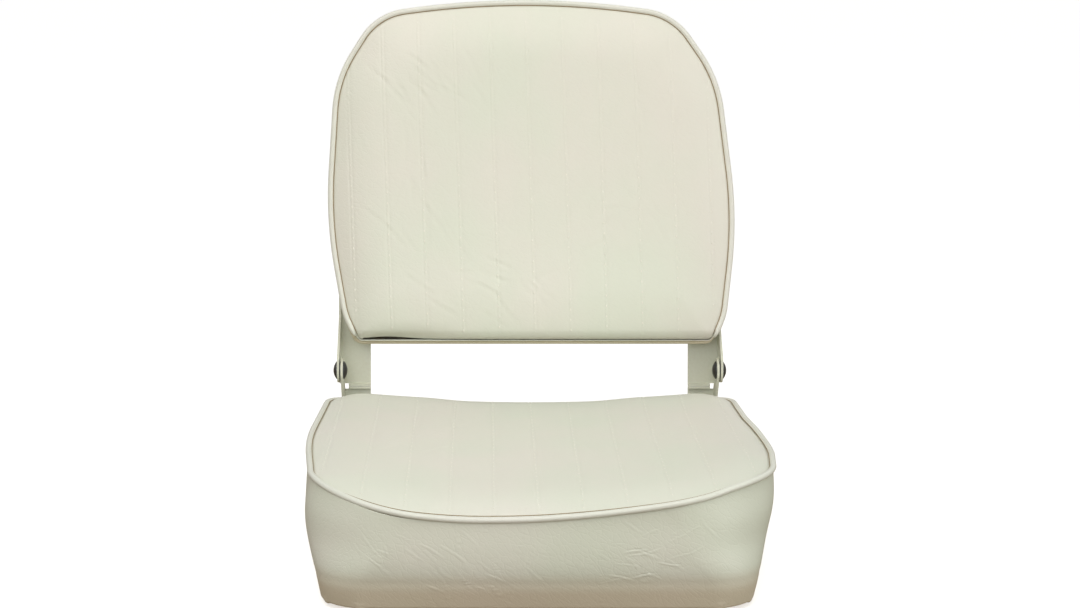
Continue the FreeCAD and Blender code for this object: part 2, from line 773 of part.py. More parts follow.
def build_back():
    tee = tee_nut(back_board_thickness, True)
    tee_space = tee_nut(back_board_thickness, False)
    places = [(x, z) for x in (-screw_x, screw_x) for z in back_screw_places]
    nuts = [put(tee, x, back_board_front, z, 90) for x, z in places]
    nut_spaces = [put(tee_space, x, back_board_front, z, 90) for x, z in places]
    holes = [cylinder(screw_hole_radius, vector(x, back_board_rear - vinyl, z),
                      vector(x, back_panel_rear + vinyl, z)) for x, z in places]

    whole_board = plate(back_board_plan, upright(back_board_front), vector(0, back_board_thickness, 0))
    rear_panel = plate(back_rear_plan, upright(back_board_rear), vector(0, vinyl, 0)).cut(holes)

    stations = crown_stations(back_rise, back_top, back_crown_reach)
    widest = board_half_width + back_widest_overhang + back_belly_widest
    lines = pleat_lines(back_pleat_spacing, widest + slab_margin)

    def pleated(depth, floor):
        return pleated_solid(stations, lines, back_front_d, back_pleat_rise, depth, floor,
                             lambda x, along, d: vector(x, -d, along))

    def body(distance):
        return loft([outline(inset(plan, distance), upright(y)) for y, plan in back_levels])

    core = body(piping_rebate)
    panel = core.common(pleated(0, None))
    boxing = body(0).common(pleated(piping_drop, -back_board_rear - slab_margin)).cut(body(vinyl))
    flanges = [cylinder(tee_nut_flange_radius, vector(x, back_board_front, z),
                        vector(x, back_board_front - tee_nut_flange_thickness, z)) for x, z in places]
    foam = core.common(pleated(vinyl, -back_board_front)).cut(flanges)
    tube = welt(back_piping_route())
    lower_tube = welt(lower_piping_route())

    save("back_board", leaned(whole_board.cut(nut_spaces)))
    save("back_foam", leaned(foam))
    save("back_front_panel", leaned(panel))
    save("back_boxing", leaned(boxing))
    save("back_rear_panel", leaned(rear_panel))
    save("back_piping", leaned(tube))
    save("back_lower_piping", leaned(lower_tube))
    save("back_hinge_tee_nuts", *[leaned(nut) for nut in nuts])
    shank = screw(sheet + vinyl + back_board_thickness)
    save("back_bracket_screws", *[leaned(put(shank, x, leaf_rear, z, -90)) for x, z in places])


def build_hinges():
    for name, piece in (("seat_bracket", seat_bracket()), ("back_bracket", back_bracket()),
                        ("pivot_rivet", pivot_rivet()), ("pivot_washer", pivot_washer())):
        save("right_" + name, piece)
        save("left_" + name, mirrored(piece))


os.makedirs("parts", exist_ok=True)
build_seat()
build_back()
build_hinges()
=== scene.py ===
# %% [markdown]
# # A folding boat seat
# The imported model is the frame: boards, hinges, rivets and fasteners are already in their places, in
# metres. This script dresses it. The soft parts, which are sewn vinyl covers over foam, are made anew in
# mesh code, and the hard parts keep their solids and get their finishes.

# %% Frame
import math

import bpy
import numpy as np
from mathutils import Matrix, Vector
from mathutils.geometry import delaunay_2d_cdt


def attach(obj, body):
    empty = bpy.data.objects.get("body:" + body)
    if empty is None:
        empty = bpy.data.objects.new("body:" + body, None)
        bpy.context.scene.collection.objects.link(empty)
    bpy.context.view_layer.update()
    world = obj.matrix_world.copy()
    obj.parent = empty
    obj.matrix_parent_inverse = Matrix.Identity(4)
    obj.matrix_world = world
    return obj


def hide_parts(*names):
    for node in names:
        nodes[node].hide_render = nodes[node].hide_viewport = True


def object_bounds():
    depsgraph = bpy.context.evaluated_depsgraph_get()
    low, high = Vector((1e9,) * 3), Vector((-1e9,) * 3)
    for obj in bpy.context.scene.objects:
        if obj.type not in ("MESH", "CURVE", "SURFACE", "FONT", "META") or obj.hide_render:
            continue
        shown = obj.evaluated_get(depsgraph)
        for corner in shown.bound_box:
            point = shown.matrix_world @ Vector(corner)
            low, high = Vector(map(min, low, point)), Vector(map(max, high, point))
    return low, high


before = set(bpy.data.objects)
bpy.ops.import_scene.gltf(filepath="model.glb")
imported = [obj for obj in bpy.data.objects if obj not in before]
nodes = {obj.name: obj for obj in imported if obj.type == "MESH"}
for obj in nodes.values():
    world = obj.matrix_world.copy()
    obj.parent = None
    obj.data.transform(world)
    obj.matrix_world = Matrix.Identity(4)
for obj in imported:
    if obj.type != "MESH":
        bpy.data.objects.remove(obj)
cad_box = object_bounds()
scene = bpy.context.scene
MM = 0.001
print("frame:", len(nodes), "nodes, box", cad_box)

# %% [markdown]
# ## Camera
# The photograph looks at the seat from in front, a little left of its middle and ten degrees down. The
# height and the distance come from the ellipses of the hinge rivets and from how much smaller the back
# looks than the seat's front edge. The seat stands right of the optical axis, so the frame is shifted.

# %% Camera
DEGREES_DOWN = 10.0
camera_data = bpy.data.cameras.new("camera")
camera_data.sensor_width = 36.0
camera_data.lens = 71.4
camera_data.shift_x = 0.049
camera_data.clip_end = 300.0
camera = bpy.data.objects.new("camera", camera_data)
camera.location = (-0.0437, -1.9495, 0.572)
camera.rotation_euler = (math.radians(90.0 - DEGREES_DOWN), 0.0, 0.0)
scene.collection.objects.link(camera)
scene.camera = camera
print("camera: lens", camera_data.lens, "mm, looking", DEGREES_DOWN, "degrees down")

# %% [markdown]
# ## Materials
# Every finish starts from a real one. One function adds a node with its settings and links, and one turns
# sRGB hex colours to the linear values that the shader works with.

# %% Material helpers
def linear(hex_colour):
    """An sRGB hex colour as linear RGBA."""
    values = [int(hex_colour[i:i + 2], 16) / 255 for i in (1, 3, 5)]
    return [v / 12.92 if v <= 0.04045 else ((v + 0.055) / 1.055) ** 2.4 for v in values] + [1.0]


def add(tree, kind, inputs=None, **settings):
    """Adds a node: settings are its properties, inputs are values or other nodes' output sockets."""
    made = tree.nodes.new(kind)
    for key, value in settings.items():
        setattr(made, key, value)
    for key, value in (inputs or {}).items():
        if isinstance(value, bpy.types.NodeSocket):
            tree.links.new(value, made.inputs[key])
        else:
            made.inputs[key].default_value = value
    return made


def per_mm(size):
    """The texture scale whose cells are about this many millimetres across."""
    return 1.0 / (size * MM)


def blank_material(name):
    """A material, its node tree, its shader and the piece's own coordinates."""
    material = bpy.data.materials.new(name)
    material.use_nodes = True
    tree = material.node_tree
    shader = tree.nodes["Principled BSDF"]
    place = add(tree, "ShaderNodeTexCoord").outputs["Object"]
    return material, tree, shader, place


# %% [markdown]
# ### Marine vinyl
# The covers are PVC on a knitted backing, embossed with a leather grain. That gives a soft sheen, shallow
# pebbles a millimetre or so across, and a slight drift between warm and greenish off-white. The pebbles
# are drawn at 1.7 mm, a little coarser than the real ones, because finer ones vanish in the render.

# %% Vinyl
# Painted shade: the side band's foot is tinted warmer and darker where it turns in under the board and
# faces down.
FOOT_SHADE_TOP = 0.033
FOOT_SHADE_BOTTOM = 0.012
FOOT_SHADE_SHARE = 0.5
HAIR_TURN = (0.0, -0.93, 0.5)
HAIR_STRETCH = (1.0, 1.0, 4.0)


def vinyl_material(name, warm, cool, rough, pebble, grain, foot_shade):
    """Grained vinyl with hair creases; the last argument is a painted shade tinting its foot, or None."""
    material, tree, shader, place = blank_material(name)
    drift = add(tree, "ShaderNodeTexNoise", {"Vector": place, "Scale": per_mm(140), "Detail": 3.0})
    drift_ramp = add(tree, "ShaderNodeValToRGB", {"Fac": drift.outputs["Fac"]})
    for stop, position, tone in zip(drift_ramp.color_ramp.elements, (0.36, 0.64), (warm, cool)):
        stop.position = position
        stop.color = linear(tone)
    colour = drift_ramp.outputs["Color"]
    # Painted shade: low on the piece the colour is mixed towards a darker, warmer tone.
    if foot_shade:
        above = add(tree, "ShaderNodeSeparateXYZ", {"Vector": place}).outputs["Z"]
        low = add(tree, "ShaderNodeMapRange",
                  {"Value": above, "From Min": FOOT_SHADE_TOP, "From Max": FOOT_SHADE_BOTTOM, "To Max": FOOT_SHADE_SHARE})
        # Sockets 0, 6 and 7 of a colour mix are its factor and its two colours.
        tint = add(tree, "ShaderNodeMix", {0: low.outputs["Result"], 6: colour, 7: linear(foot_shade)},
                   data_type="RGBA")
        colour = tint.outputs[2]
    tree.links.new(colour, shader.inputs["Base Color"])
    cells = add(tree, "ShaderNodeTexVoronoi", {"Vector": place, "Scale": per_mm(pebble)},
                feature="SMOOTH_F1")
    fine = add(tree, "ShaderNodeTexNoise", {"Vector": place, "Scale": per_mm(pebble * 2.4), "Detail": 4.0})
    both = add(tree, "ShaderNodeMath", {0: cells.outputs["Distance"], 1: fine.outputs["Fac"]},
               operation="ADD")
    slanted = add(tree, "ShaderNodeMapping",
                  {"Vector": place, "Rotation": HAIR_TURN, "Scale": HAIR_STRETCH}, vector_type="TEXTURE")
    hairs = add(tree, "ShaderNodeTexVoronoi", {"Vector": slanted.outputs["Vector"], "Scale": per_mm(5)},
                feature="DISTANCE_TO_EDGE")
    sunk = add(tree, "ShaderNodeMapRange",
               {"Value": hairs.outputs["Distance"], "From Max": 0.09, "To Max": 0.8})
    height = add(tree, "ShaderNodeMath", {0: both.outputs[0], 1: sunk.outputs["Result"]}, operation="ADD")
    bump = add(tree, "ShaderNodeBump", {"Height": height.outputs[0], "Strength": grain, "Distance": 0.0004})
    tree.links.new(bump.outputs["Normal"], shader.inputs["Normal"])
    worn = add(tree, "ShaderNodeMapRange",
               {"Value": fine.outputs["Fac"], "To Min": rough - 0.06, "To Max": rough + 0.08})
    tree.links.new(worn.outputs["Result"], shader.inputs["Roughness"])
    shader.inputs["IOR"].default_value = 1.53
    return material


# The values are the two colours, the roughness, the pebbles in mm, the grain's strength and the painted
# shade at the foot.
cover_vinyl = vinyl_material("embossed_marine_vinyl", "#E9E7DD", "#E4E8DA", 0.46, 1.7, 0.22, None)
# The band is a darker copy of the cover vinyl: painted shade for the seat's sides, with a painted warm
# shade at its foot.
shaded_band_vinyl = vinyl_material("embossed_marine_vinyl_painted_shade_band", "#DEDED2", "#D8DDCD", 0.46, 1.7, 0.22, "#D2BC9E")
piping_vinyl = vinyl_material("welt_cord_vinyl", "#E8E8E0", "#E5E8DD", 0.38, 1.2, 0.10, None)
# This copy of the welt vinyl is darker and browner: painted shade for the lower welt under the back's
# rolled edge.
shaded_piping_vinyl = vinyl_material("welt_cord_vinyl_painted_shade", "#D3C8AE", "#CCC4A8", 0.44, 1.2, 0.10, None)
print("vinyl: cover, band and welt")

# %% [markdown]
# ### Thread, paint, steel and plywood
# The taupe strip in each seam's gap beside the welt is partly its bonded thread and partly painted shade of
# the gap. The pressed hinges are sprayed in the cover's colour and baked, the rivets are dark steel, the
# screws and tee nuts are bright zinc plate, and the boards are rotary cut plywood, seen only from below.

# %% Hard materials
def plain_material(name, colour, other, metallic, rough, grit, relief):
    """A finish that drifts between two colours, with a fine grit."""
    material, tree, shader, place = blank_material(name)
    noise = add(tree, "ShaderNodeTexNoise", {"Vector": place, "Scale": per_mm(grit), "Detail": 5.0})
    ramp = add(tree, "ShaderNodeValToRGB", {"Fac": noise.outputs["Fac"]})
    for stop, position, tone in zip(ramp.color_ramp.elements, (0.3, 0.7), (colour, other)):
        stop.position = position
        stop.color = linear(tone)
    tree.links.new(ramp.outputs["Color"], shader.inputs["Base Color"])
    bump = add(tree, "ShaderNodeBump",
               {"Height": noise.outputs["Fac"], "Strength": relief, "Distance": 0.0002})
    tree.links.new(bump.outputs["Normal"], shader.inputs["Normal"])
    shader.inputs["Metallic"].default_value = metallic
    shader.inputs["Roughness"].default_value = rough
    return material


# The values are the two colours, how metallic and rough it is, the grit in mm and its relief.
# Taupe for the seam strip: partly the thread's own colour, partly painted shade in the gap beside the welt.
thread_and_seam_shade = plain_material("bonded_thread_and_painted_seam_shade", "#A8967A", "#978569", 0.0, 0.8, 1.2, 0.3)
stitch_thread = plain_material("polyester_stitch_thread", "#F7F5EC", "#EFEDE2", 0.0, 0.6, 0.8, 0.2)
painted_steel = plain_material("baked_enamel_steel", "#D6D8C8", "#D2D3C2", 0.0, 0.34, 2.5, 0.06)
rivet_steel = plain_material("dark_rivet_steel", "#4A4C4E", "#5E6062", 0.9, 0.38, 1.5, 0.1)
zinc_steel = plain_material("zinc_plated_steel", "#B9BBBC", "#A7A9A8", 1.0, 0.32, 1.2, 0.08)
foam_rubber = plain_material("polyurethane_foam", "#E7DDAF", "#DCCF98", 0.0, 0.95, 1.4, 0.6)


def plywood_material():
    """Veneer whose figure runs along y."""
    material, tree, shader, place = blank_material("rotary_cut_plywood")
    stretched = add(tree, "ShaderNodeMapping", {"Vector": place, "Scale": (1.0, 0.06, 1.0)})
    figure = add(tree, "ShaderNodeTexNoise", {"Vector": stretched.outputs["Vector"], "Scale": per_mm(9),
                                              "Detail": 6.0, "Distortion": 1.2})
    ramp = add(tree, "ShaderNodeValToRGB", {"Fac": figure.outputs["Fac"]})
    ramp.color_ramp.elements[0].color = linear("#B98F5E")
    ramp.color_ramp.elements[1].color = linear("#DDBB8A")
    tree.links.new(ramp.outputs["Color"], shader.inputs["Base Color"])
    bump = add(tree, "ShaderNodeBump",
               {"Height": figure.outputs["Fac"], "Strength": 0.25, "Distance": 0.0005})
    tree.links.new(bump.outputs["Normal"], shader.inputs["Normal"])
    shader.inputs["Roughness"].default_value = 0.72
    return material


plywood = plywood_material()
print("hard finishes:", [m.name for m in (painted_steel, rivet_steel, zinc_steel, plywood)])

# %% [markdown]
# ## Mesh helpers
# A cover is cut from flat vinyl, so each panel is drawn as a flat outline first. The outline is a polygon
# with round corners. Drawn at several heights with the same count of points, such outlines can be joined
# by smooth curves, and that is how the sides of a cushion get their belly.

# %% Outlines
def rounded_loop(corners, step=None, counts=None):
    """Points round a polygon with round corners, and how many lie on each arc and run."""
    spots = []
    total = len(corners)
    for i in range(total):
        here = np.array(corners[i][:2])
        before = np.array(corners[i - 1][:2]) - here
        after = np.array(corners[(i + 1) % total][:2]) - here
        before /= np.linalg.norm(before)
        after /= np.linalg.norm(after)
        half = math.acos(float(np.clip(before @ after, -1, 1))) / 2
        inward = before + after
        inward /= np.linalg.norm(inward)
        radius = corners[i][2]
        centre = here + inward * radius / math.sin(half)
        reach = radius / math.tan(half)
        spots.append((centre, here + before * reach, here + after * reach, radius, math.pi - 2 * half))
    if counts is None:
        counts = []
        for i in range(total):
            run = np.linalg.norm(spots[(i + 1) % total][1] - spots[i][2])
            counts.append((max(2, round(spots[i][3] * spots[i][4] / step)), max(1, round(run / step))))
    points = []
    for i in range(total):
        centre, start, end, radius = spots[i][:4]
        arc, run = counts[i]
        first = math.atan2(*(start - centre)[::-1])
        sweep = math.atan2(*(end - centre)[::-1]) - first
        sweep = (sweep + math.pi) % (2 * math.pi) - math.pi
        for k in range(arc + 1):
            angle = first + sweep * k / arc
            points.append(centre + radius * np.array([math.cos(angle), math.sin(angle)]))
        following = spots[(i + 1) % total][1]
        for k in range(1, run):
            points.append(end + (following - end) * k / run)
    return np.array(points), counts


def inward_of(loop):
    """Unit vectors that point into a closed loop."""
    along = np.roll(loop, -1, 0) - np.roll(loop, 1, 0)
    along /= np.linalg.norm(along, axis=1)[:, None]
    area = np.sum(loop[:, 0] * np.roll(loop[:, 1], -1) - np.roll(loop[:, 0], -1) * loop[:, 1])
    return np.stack([-along[:, 1], along[:, 0]], 1) * math.copysign(1.0, area)


def inside_distance(points, loop):
    """How far points lie inside a closed loop, negative outside. Every third point of it is enough."""
    loop = loop[::3]
    nearest = np.full(len(points), 1e9)
    within = np.zeros(len(points), bool)
    for a, b in zip(loop, np.roll(loop, -1, 0)):
        run = b - a
        share = np.clip(((points - a) @ run) / (run @ run), 0, 1)
        nearest = np.minimum(nearest, np.linalg.norm(points - a - share[:, None] * run, axis=1))
        if a[1] != b[1]:
            crossing = (a[1] > points[:, 1]) != (b[1] > points[:, 1])
            within ^= crossing & (points[:, 0] < a[0] + run[0] * (points[:, 1] - a[1]) / run[1])
    return np.where(within, nearest, -nearest)


# %% [markdown]
# ### Curves
# Plain curves do the rest: one through the outlines, the rise of a padded panel from its seam, a straight
# climb, a soft one, and a bell for dents and grooves.

# %% Curves
def through_levels(heights, loops):
    """Natural cubic curves through outlines at several heights, as a function of the wanted heights."""
    heights = np.array(heights)
    values = np.array(loops)
    count = len(heights)
    gaps = np.diff(heights)
    matrix = np.eye(count)
    right = np.zeros_like(values)
    for i in range(1, count - 1):
        matrix[i, i - 1:i + 2] = gaps[i - 1], 2 * (gaps[i - 1] + gaps[i]), gaps[i]
        right[i] = 6 * ((values[i + 1] - values[i]) / gaps[i] - (values[i] - values[i - 1]) / gaps[i - 1])
    bend = np.linalg.solve(matrix, right.reshape(count, -1)).reshape(values.shape)

    def at(wanted):
        k = np.clip(np.searchsorted(heights, wanted) - 1, 0, count - 2)
        n = np.arange(values.shape[1])
        gap = gaps[k][:, None]
        a = ((heights[k + 1] - wanted) / gaps[k])[:, None]
        b = 1 - a
        curve = (a ** 3 - a) * bend[k, n] + (b ** 3 - b) * bend[k + 1, n]
        return a * values[k, n] + b * values[k + 1, n] + curve * gap ** 2 / 6
    return at


def swell(distance, reach):
    """Rises from 0 at a seam to 1 at a distance of reach."""
    share = np.clip(distance / reach, 0, 1)
    return 1 - (1 - share) ** 2.2


def climb(value, start, end):
    """0 at the start, 1 at the end, and level beyond them."""
    return np.clip((value - start) / (end - start), 0, 1)


def eased(share):
    """A climb with soft ends."""
    return share ** 2 * (3 - 2 * share)


def bell(value, centre, width):
    """1 at the centre, fading to both sides."""
    return np.exp(-((value - centre) / width) ** 2)


# %% [markdown]
# ### Meshes
# Meshes are made from plain lists of points in millimetres. A band is rows of points round a loop, a welt
# is a tube along a line, and a panel is a constrained triangulation, which keeps its outline and its sewn
# lines exact and fills the rest evenly.

# %% Meshes
TUBE_END = (0.35, 0.75, 0.95)


def make_piece(name, points, faces, material):
    """A smooth piece from points in millimetres."""
    mesh = bpy.data.meshes.new(name)
    mesh.from_pydata((np.asarray(points) * MM).tolist(), [], faces)
    mesh.polygons.foreach_set("use_smooth", [True] * len(mesh.polygons))
    mesh.materials.append(material)
    mesh.update()
    made = bpy.data.objects.new(name, mesh)
    scene.collection.objects.link(made)
    return made


def band_faces(rows, columns):
    """Faces between rows of points that go round a loop."""
    faces = []
    for r in range(rows - 1):
        for c in range(columns):
            d = (c + 1) % columns
            faces.append((r * columns + c, r * columns + d, (r + 1) * columns + d, (r + 1) * columns + c))
    return faces


def tube(points, radius, sides=14, closed=False):
    """Points and faces of a round welt along a line, with rounded ends where it is open."""
    line = np.asarray(points, float)
    if closed:
        along = np.roll(line, -1, 0) - np.roll(line, 1, 0)
    else:
        along = np.gradient(line, axis=0)
    along /= np.linalg.norm(along, axis=1)[:, None]
    side = np.cross(along[0], [0.0, 0.0, 1.0])
    if np.linalg.norm(side) < 1e-6:
        side = np.array([1.0, 0.0, 0.0])
    rings = []
    radii = np.full(len(line), radius)
    angles = np.linspace(0, 2 * math.pi, sides, endpoint=False)
    if not closed:
        for k, share in enumerate(TUBE_END):
            radii[k] *= share
            radii[-1 - k] *= share
    for i in range(len(line)):
        side = side - along[i] * (side @ along[i])
        side /= np.linalg.norm(side)
        up = np.cross(along[i], side)
        rings.append(line[i] + radii[i] * (np.cos(angles)[:, None] * side + np.sin(angles)[:, None] * up))
    faces = band_faces(len(line), sides)
    last = (len(line) - 1) * sides
    if closed:
        shift = int(np.argmin(np.linalg.norm(rings[0] - rings[-1][0], axis=1)))
        for c in range(sides):
            d = (c + 1) % sides
            faces.append((last + c, last + d, (d + shift) % sides, (c + shift) % sides))
    else:
        faces.append(tuple(range(sides))[::-1])
        faces.append(tuple(range(last, last + sides)))
    return np.concatenate(rings), faces


def even_loop(loop, step):
    """The same closed loop with its points evenly spaced."""
    line = np.concatenate([loop, loop[:1]])
    length = np.concatenate([[0], np.cumsum(np.linalg.norm(np.diff(line, axis=0), axis=1))])
    wanted = np.linspace(0, length[-1], max(4, round(length[-1] / step)) + 1)
    made = np.stack([np.interp(wanted, length, line[:, k]) for k in range(line.shape[1])], 1)
    return made[:-1]


# %% [markdown]
# A panel's points stand in rings along its edge, in close columns beside each sewn line, and in wider
# columns between the lines.

# %% Panels
EDGE_RINGS = (1.4, 3.2, 6.0, 9.5)
LINE_COLUMNS = (-3.2, -2.0, -1.2, 0.0, 1.2, 2.0, 3.2)


def panel_mesh(loop, lines, spacing, pitch):
    """Flat points and triangles inside a loop."""
    inward = inward_of(loop)
    layers = [loop] + [loop + inward * ring for ring in EDGE_RINGS]
    columns = []
    between = np.arange(-spacing / 2 + 6.0, spacing / 2 - 5.9, pitch) + spacing / 2
    for x in lines:
        columns += [x + o for o in LINE_COLUMNS]
        columns += [x + b for b in between]
    columns += [lines[0] - spacing + b for b in between]
    lowest, highest = loop.min(0), loop.max(0)
    rows = np.arange(lowest[1], highest[1], pitch)
    grid = []
    for k, x in enumerate(sorted(columns)):
        stagger = pitch / 2 if k % 2 else 0.0
        grid.append(np.stack([np.full(len(rows), x), rows + stagger], 1))
    grid = np.concatenate(grid)
    grid = grid[inside_distance(grid, loop) > EDGE_RINGS[-1] + pitch * 0.5]
    flat = np.concatenate(layers + [grid])
    border = list(range(len(loop)))
    result = delaunay_2d_cdt([Vector(p) for p in flat], [], [border], 1, 1e-6)
    points = np.array([tuple(v) for v in result[0]])
    return points, [tuple(f) for f in result[2]]


# %% [markdown]
# ### Creases
# Vinyl that has been folded in a box keeps fine diagonal creases. Each is drawn as a shallow valley with a
# low ridge beside it. They come in families that share a direction, placed where the photograph shows
# them, with a seeded scatter.

# %% Creases
CREASE_FAN = 14.0


def crease_family(seed, centre, direction, count, spread, length, depth):
    """Strokes as (start, end, depth) round a centre, all nearly in one direction."""
    chance = np.random.RandomState(seed)
    strokes = []
    for _ in range(count):
        middle = np.array(centre) + chance.normal(0, 1, 2) * np.array(spread)
        angle = math.radians(direction + chance.normal(0, CREASE_FAN))
        half = 0.5 * length * chance.uniform(0.5, 1.3) * np.array([math.cos(angle), math.sin(angle)])
        strokes.append((middle - half, middle + half, depth * chance.uniform(0.4, 1.0)))
    return strokes


def crease_families(*families):
    """The strokes of several families."""
    return [stroke for family in families for stroke in crease_family(*family)]


def crease_depth(points, strokes, width):
    """How far the creases move the surface at flat points, in millimetres."""
    moved = np.zeros(len(points))
    for start, end, depth in strokes:
        run = end - start
        length = np.linalg.norm(run)
        along = ((points - start) @ run) / length ** 2
        across = ((points - start) @ np.array([-run[1], run[0]])) / length
        across = across + 0.06 * length * np.sin(along * 3.0 + depth * 40)
        fade = np.clip(np.minimum(along, 1 - along) * 4, 0, 1)
        moved += depth * fade * (0.6 * bell(across, 1.8 * width, width) - bell(across, 0.0, width))
    return moved


# %% [markdown]
# ### Filling a cover with foam
# Sewn channels look padded because the vinyl is held down along its seams and pushed up between them. So
# the panel is pinned along its seam and its sewn lines and blown up with Blender's cloth solver. The
# movement is capped, and the solver is removed once its result is in the mesh.

# %% Cloth
CLOTH_FRAMES = 20


def puff(cover, pinned, cap):
    """Swells a panel between its pinned points by at most a cap in millimetres."""
    group = cover.vertex_groups.new(name="sewn")
    group.add([int(i) for i in np.nonzero(pinned)[0]], 1.0, "REPLACE")
    rest = np.array([v.co for v in cover.data.vertices])
    solver = cover.modifiers.new("foam", "CLOTH")
    settings = solver.settings
    settings.quality = 6
    settings.mass = 0.25
    settings.tension_stiffness = 22.0
    settings.compression_stiffness = 22.0
    settings.bending_stiffness = 6.0
    settings.air_damping = 4.0
    settings.use_pressure = True
    settings.uniform_pressure_force = 4.0
    settings.vertex_group_mass = "sewn"
    settings.effector_weights.gravity = 0.0
    for number in range(1, CLOTH_FRAMES + 1):
        scene.frame_set(number)
    shaped = cover.evaluated_get(bpy.context.evaluated_depsgraph_get())
    moved = np.array([v.co for v in shaped.data.vertices]) - rest
    cover.modifiers.remove(solver)
    cover.vertex_groups.clear()
    scene.frame_set(1)
    size = np.linalg.norm(moved, axis=1)
    limit = cap * MM
    moved *= (np.tanh(size / limit) * limit / np.maximum(size, 1e-9))[:, None]
    cover.data.vertices.foreach_set("co", (rest + moved).ravel())
    cover.data.update()
    print(cover.name, "puffed by up to", round(float(size.max() / MM), 2), "mm, kept under", cap)


# %% [markdown]
# ### Changing a cover
# After the foam, a panel's mesh is halved smoothly, so that fine creases have points to move. Last, it is
# given the thickness of vinyl.

# %% Cover changes
def refine(cover):
    """Halves the mesh smoothly, in place."""
    smooth = cover.modifiers.new("halve", "SUBSURF")
    smooth.levels = 1
    smooth.render_levels = 1
    shaped = cover.evaluated_get(bpy.context.evaluated_depsgraph_get())
    fine = bpy.data.meshes.new_from_object(shaped)
    cover.modifiers.clear()
    cover.data = fine
    cover.data.polygons.foreach_set("use_smooth", [True] * len(fine.polygons))


def thicken(cover, thickness):
    """Gives a panel the thickness of its vinyl, inwards."""
    shell = cover.modifiers.new("vinyl", "SOLIDIFY")
    shell.thickness = thickness * MM
    shell.offset = -1.0


def vertex_array(cover):
    """A cover's points in millimetres."""
    made = np.empty(len(cover.data.vertices) * 3)
    cover.data.vertices.foreach_get("co", made)
    return made.reshape(-1, 3) / MM


def set_vertices(cover, points):
    """Moves a cover's points, in millimetres."""
    cover.data.vertices.foreach_set("co", (np.asarray(points) * MM).ravel())
    cover.data.update()


def normals_of(cover):
    """A cover's normals at its points."""
    made = np.empty(len(cover.data.vertices) * 3)
    cover.data.vertex_normals.foreach_get("vector", made)
    return made.reshape(-1, 3)


# %% [markdown]
# ## Seat cushion
# The seat's cover stands out past its plywood board. Its plan is given at six heights, from the hem at the
# board, over the belly and the shoulder, to the piped seam.

# %% Seat outlines
BOARD_HALF = 186.0
SEAT_HALF_DEPTH = 190.5
VINYL = 1.2
WELT_RADIUS = 2.8
LOWER_WELT_RADIUS = 2.0
LONG_ARC = 744.0
OUTLINE_STEP = 2.6
SEAM_PULL = 9.0
SHOULDER_PULL = 5.0
SEAM_HEIGHT = 99.0
SHOULDER_HEIGHT = 74.0


def seat_plan(front_end, side_middle, rear_end, front, rear, bow, front_radius, rear_radius):
    """Corners of the seat's plan as (x, y, radius)."""
    near = -SEAT_HALF_DEPTH - front
    far = SEAT_HALF_DEPTH + rear
    ahead, middle, behind = (BOARD_HALF + out for out in (front_end, side_middle, rear_end))
    return [(-ahead, near, front_radius), (0, near - bow, LONG_ARC), (ahead, near, front_radius),
            (middle, 0, LONG_ARC), (behind, far, rear_radius), (0, far + bow, LONG_ARC),
            (-behind, far, rear_radius), (-middle, 0, LONG_ARC)]


seat_shoulder_plan = seat_plan(11.0, 25.0, 16.5, 10.0, 9.5, 2.5, 86.0, 44.0)
seat_seam_plan = seat_plan(4.0, 24.5, 16.5, 10.0, 9.5, 2.5, 96.0, 44.0)
seat_plans = [(0.0, seat_plan(1.6, 2.1, 1.6, 1.6, 1.6, 0.5, 39.6, 39.6)),
              (26.0, seat_plan(5.0, 13.5, 10.0, 9.0, 9.5, 2.5, 48.0, 40.0)),
              (52.0, seat_plan(10.5, 24.0, 17.5, 11.6, 12.0, 2.5, 78.0, 44.0)),
              (SHOULDER_HEIGHT, seat_shoulder_plan),
              (SEAM_HEIGHT, seat_seam_plan), (SEAM_HEIGHT + 20.0, seat_seam_plan)]


def pulled_right(loop, reach):
    """The cover sits a little to the right in front, so that side of an outline stands out further."""
    ahead = climb(loop[:, 1], 90.0, -70.0) * climb(loop[:, 1], -235.0, -115.0)
    aside = climb(loop[:, 0], 0.0, 190.0) ** 2
    return loop + np.column_stack([reach * ahead * aside, np.zeros(len(loop))])


def pull_at(height):
    """How far the cover is pulled at a height."""
    if height >= SEAM_HEIGHT:
        return SEAM_PULL
    return SHOULDER_PULL if height >= SHOULDER_HEIGHT else 0.0


seat_seam, seat_counts = rounded_loop(seat_seam_plan, step=OUTLINE_STEP)
seat_seam = pulled_right(seat_seam, SEAM_PULL)
seat_loops = [pulled_right(rounded_loop(plan, counts=seat_counts)[0], pull_at(height))
              for height, plan in seat_plans]
seat_side = through_levels([height for height, plan in seat_plans], seat_loops)


def across_seat(x, y):
    """0 at the lowest line of the dish, which swings to the left at the front, and 1 at the sides."""
    ahead = climb(y, 50.0, -150.0)
    lowest = -48.0 * ahead
    room = np.where(x > lowest, 196.0 - 32.0 * ahead - lowest, 196.0 + lowest)
    return np.minimum(np.abs(x - lowest) / room, 1.0)


def seat_seam_z(x, y):
    """Height of the piped seam, which dips in the middle and rises at the right front."""
    dip = 9.5 + 10.5 * (0.5 - y / (2 * SEAT_HALF_DEPTH))
    sunk = 5.0 * climb(y, 150.0, 195.0) ** 2
    raised = 4.0 * eased(climb(x, 140.0, 195.0) * climb(y, 20.0, -90.0))
    return SEAM_HEIGHT + raised - sunk - dip * (1 - across_seat(x, y) ** 2) ** 1.2


def seat_top_z(flat, distance):
    """Height of the padded top, which has a crest along its rear."""
    x, y = flat.T
    across = across_seat(x, y)
    crest = climb(y, 120.0, 180.0) ** 2
    rise = 5.0 * across ** 2 - 1.7 + 2.0 * eased(climb(np.abs(x), 60.0, 110.0))
    crown = 5.0 + 5.0 * (1 - across ** 2) + rise * crest
    return seat_seam_z(x, y) + crown * swell(distance, 60.0 - 32.0 * climb(y, 80.0, 180.0))


print("seat seam:", len(seat_seam), "points")

# %% [markdown]
# ### Seat panel
# The top is one panel with eleven sewn lines. Close to its seam it turns down beside the welt.

